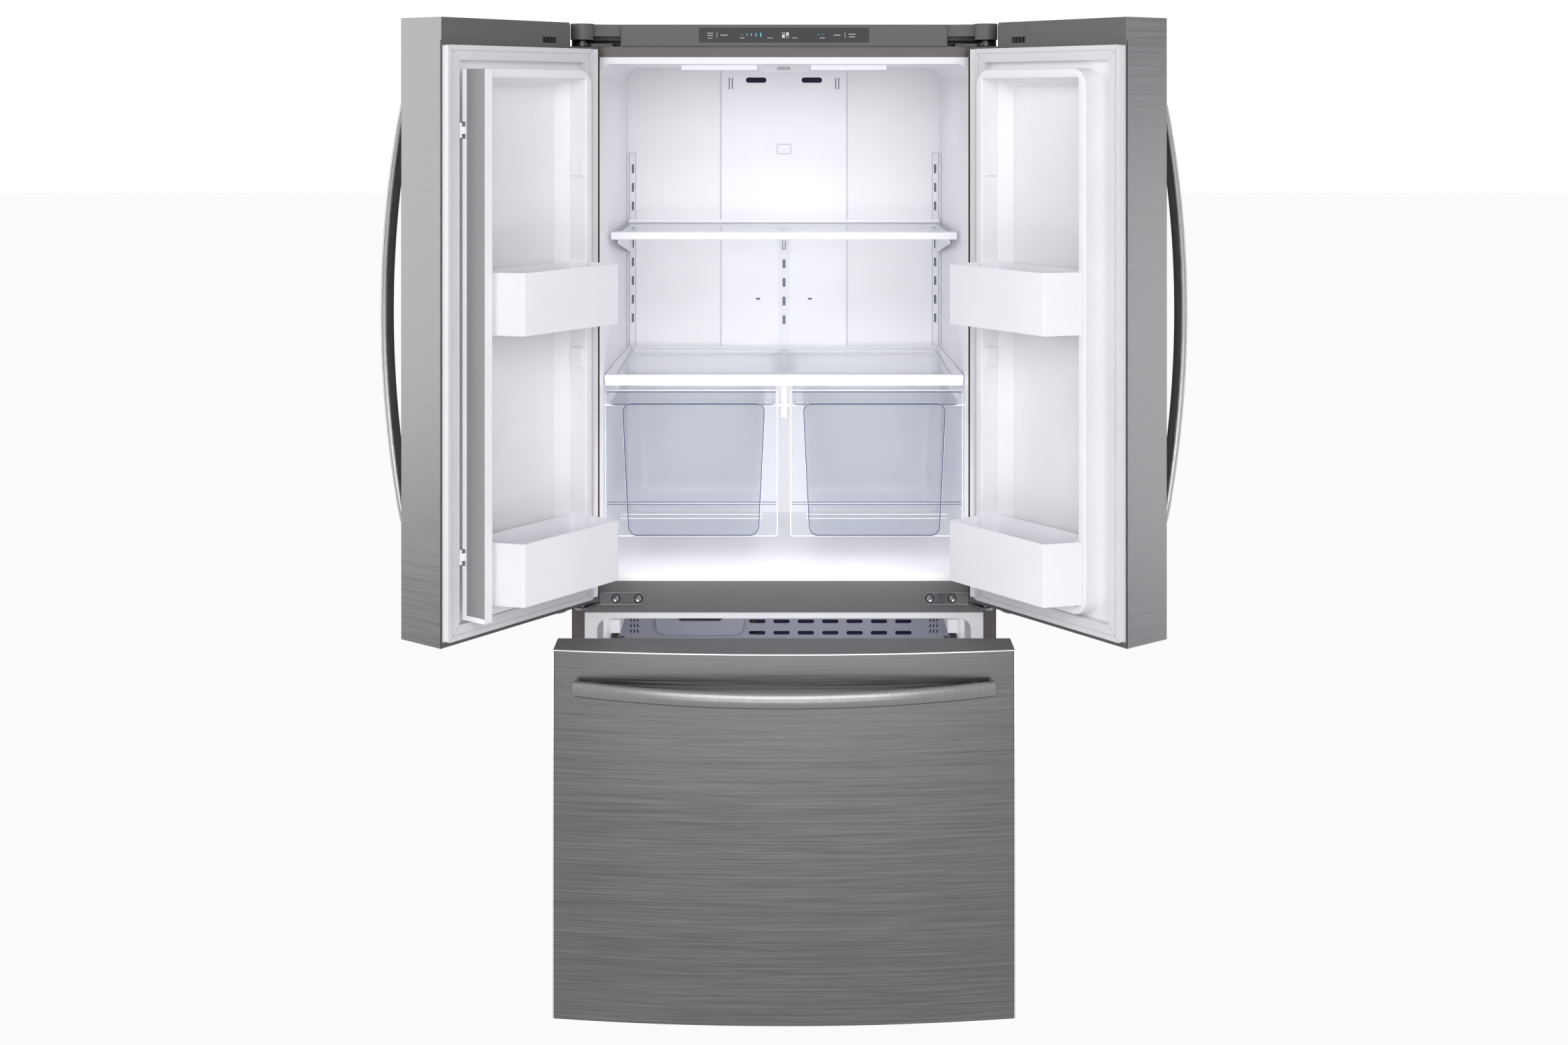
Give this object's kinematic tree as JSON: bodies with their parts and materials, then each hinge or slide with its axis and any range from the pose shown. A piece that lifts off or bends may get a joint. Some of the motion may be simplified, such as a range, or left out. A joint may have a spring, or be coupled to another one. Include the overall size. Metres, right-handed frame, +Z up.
{
  "type": "french door refrigerator",
  "caption": "Free-standing refrigerator with two hinged doors over a pull-out freezer drawer, bowed stainless fronts and bar handles, shown open.",
  "frame": {"origin": "on the floor, under the middle of the bounding box of the stored pose (doors open, drawer half out)", "axes": "+X to the right seen from the front, +Y into the cabinet's depth, +Z up"},
  "size_m": [1.3432, 0.9816, 1.75],
  "materials": {
    "case_paint": "satin dark taupe paint",
    "galvanised": "plain coated sheet",
    "foam": "rigid insulating foam",
    "liner_white": "satin white",
    "rail_grey": "satin grey paint",
    "cover_grey": "fine matte grey",
    "display_dark": "smooth dark panel",
    "hinge_black": "black coated steel",
    "hinge_steel": "bare zinc-plated steel",
    "white_plastic": "satin white",
    "lens": "frosted light cover",
    "white_steel": "white coated steel",
    "shelf_glass": "clear tempered glass",
    "clear_plastic": "clear moulded plastic",
    "freezer_panel": "blue-grey",
    "aluminium_fins": "raw fins",
    "motor": "black",
    "compressor_black": "black enamel",
    "copper": "copper tube and steel plates",
    "rubber_grey": "levelling foot",
    "front_steel": "horizontally brushed stainless",
    "gasket_white": "soft white seal",
    "handle_steel": "satin polished along the bar",
    "fan_blade": "white blade",
    "slide_steel": "zinc-plated"
  },
  "bodies": {
    "cabinet": {"outer_case": "case_paint", "rear_panels": "galvanised", "cabinet_insulation": "foam", "fridge_liner": "liner_white", "freezer_liner": "liner_white", "mid_rail": "rail_grey", "control_housing": "cover_grey", "display_panel": "display_dark", "hinge_covers": "cover_grey", "top_hinges": "hinge_black", "mid_hinges": "hinge_steel", "light_housing": "white_plastic", "light_lenses": "lens", "duct_panel": "white_plastic", "shelf_rails": "white_steel", "shelf_glass": "shelf_glass", "shelf_trims": "white_plastic", "shelf_arms": "white_steel", "cover_frame": "white_plastic", "cover_glass": "shelf_glass", "crisper_rails": "white_plastic", "freezer_back": "freezer_panel", "evaporator": "aluminium_fins", "evaporator_fan_motor": "motor", "compressor": "compressor_black", "condenser": "copper", "base_tray": "galvanised", "toe_grille": "cover_grey", "front_legs": "rubber_grey", "slide_rails": "slide_steel"},
    "left_door": {"door_panel_left": "front_steel", "door_core_left": "foam", "door_caps_left": "cover_grey", "door_liner_left": "liner_white", "door_gasket_left": "gasket_white", "door_handle_left": "handle_steel", "door_bins_left": "white_plastic"},
    "right_door": {"door_panel_right": "front_steel", "door_core_right": "foam", "door_caps_right": "cover_grey", "door_liner_right": "liner_white", "door_gasket_right": "gasket_white", "door_handle_right": "handle_steel", "door_bins_right": "white_plastic"},
    "mullion": {"mullion_flap": "white_plastic", "flap_seal_plate": "rail_grey"},
    "freezer_drawer": {"drawer_panel": "front_steel", "drawer_core": "foam", "drawer_caps": "cover_grey", "drawer_liner": "liner_white", "drawer_gasket": "gasket_white", "drawer_handle": "handle_steel", "freezer_basket": "white_plastic", "slide_carriers": "slide_steel"},
    "slide_middle_members": {"slide_middles": "slide_steel"},
    "left_crisper": {"crisper_left": "clear_plastic"},
    "right_crisper": {"crisper_right": "clear_plastic"},
    "left_roller": {"rear_roller_left": "motor"},
    "right_roller": {"rear_roller_right": "motor"},
    "cold_air_fan": {"evaporator_fan": "fan_blade"}
  },
  "joints": [
    {"name": "left_door_hinge", "type": "hinge", "parent": "cabinet", "child": "left_door", "pos_m": [-0.356, -0.15723, 0.732], "axis": [0, 0, -1], "range_deg": [-127, 3]},
    {"name": "right_door_hinge", "type": "hinge", "parent": "cabinet", "child": "right_door", "pos_m": [0.356, -0.15723, 0.732], "axis": [0, 0, 1], "range_deg": [-127, 3]},
    {"name": "mullion_fold", "type": "hinge", "parent": "left_door", "child": "mullion", "pos_m": [-0.52304, -0.43705, 1.2215], "axis": [0, 0, 1], "range_deg": [-90, 0]},
    {"name": "freezer_drawer_slide", "type": "slide", "parent": "cabinet", "child": "freezer_drawer", "axis": [0, -1, 0], "range_m": [-0.195, 0.205]},
    {"name": "slide_middle_travel", "type": "slide", "parent": "cabinet", "child": "slide_middle_members", "axis": [0, -1, 0], "range_m": [-0.098, 0.103]},
    {"name": "left_crisper_slide", "type": "slide", "parent": "cabinet", "child": "left_crisper", "axis": [0, -1, 0], "range_m": [0, 0.185]},
    {"name": "right_crisper_slide", "type": "slide", "parent": "cabinet", "child": "right_crisper", "axis": [0, -1, 0], "range_m": [0, 0.185]},
    {"name": "left_roller_turn", "type": "hinge", "parent": "cabinet", "child": "left_roller", "pos_m": [-0.305, 0.44677, 0.018], "axis": [1, 0, 0], "continuous": true},
    {"name": "right_roller_turn", "type": "hinge", "parent": "cabinet", "child": "right_roller", "pos_m": [0.305, 0.44677, 0.018], "axis": [1, 0, 0], "continuous": true},
    {"name": "cold_air_fan_spin", "type": "hinge", "parent": "cabinet", "child": "cold_air_fan", "pos_m": [-0.169, 0.34377, 0.611], "axis": [0, 1, 0], "continuous": true}
  ],
  "couplings": [
    {"joint": "slide_middle_travel", "follows": "freezer_drawer_slide", "ratio": 0.5}
  ]
}
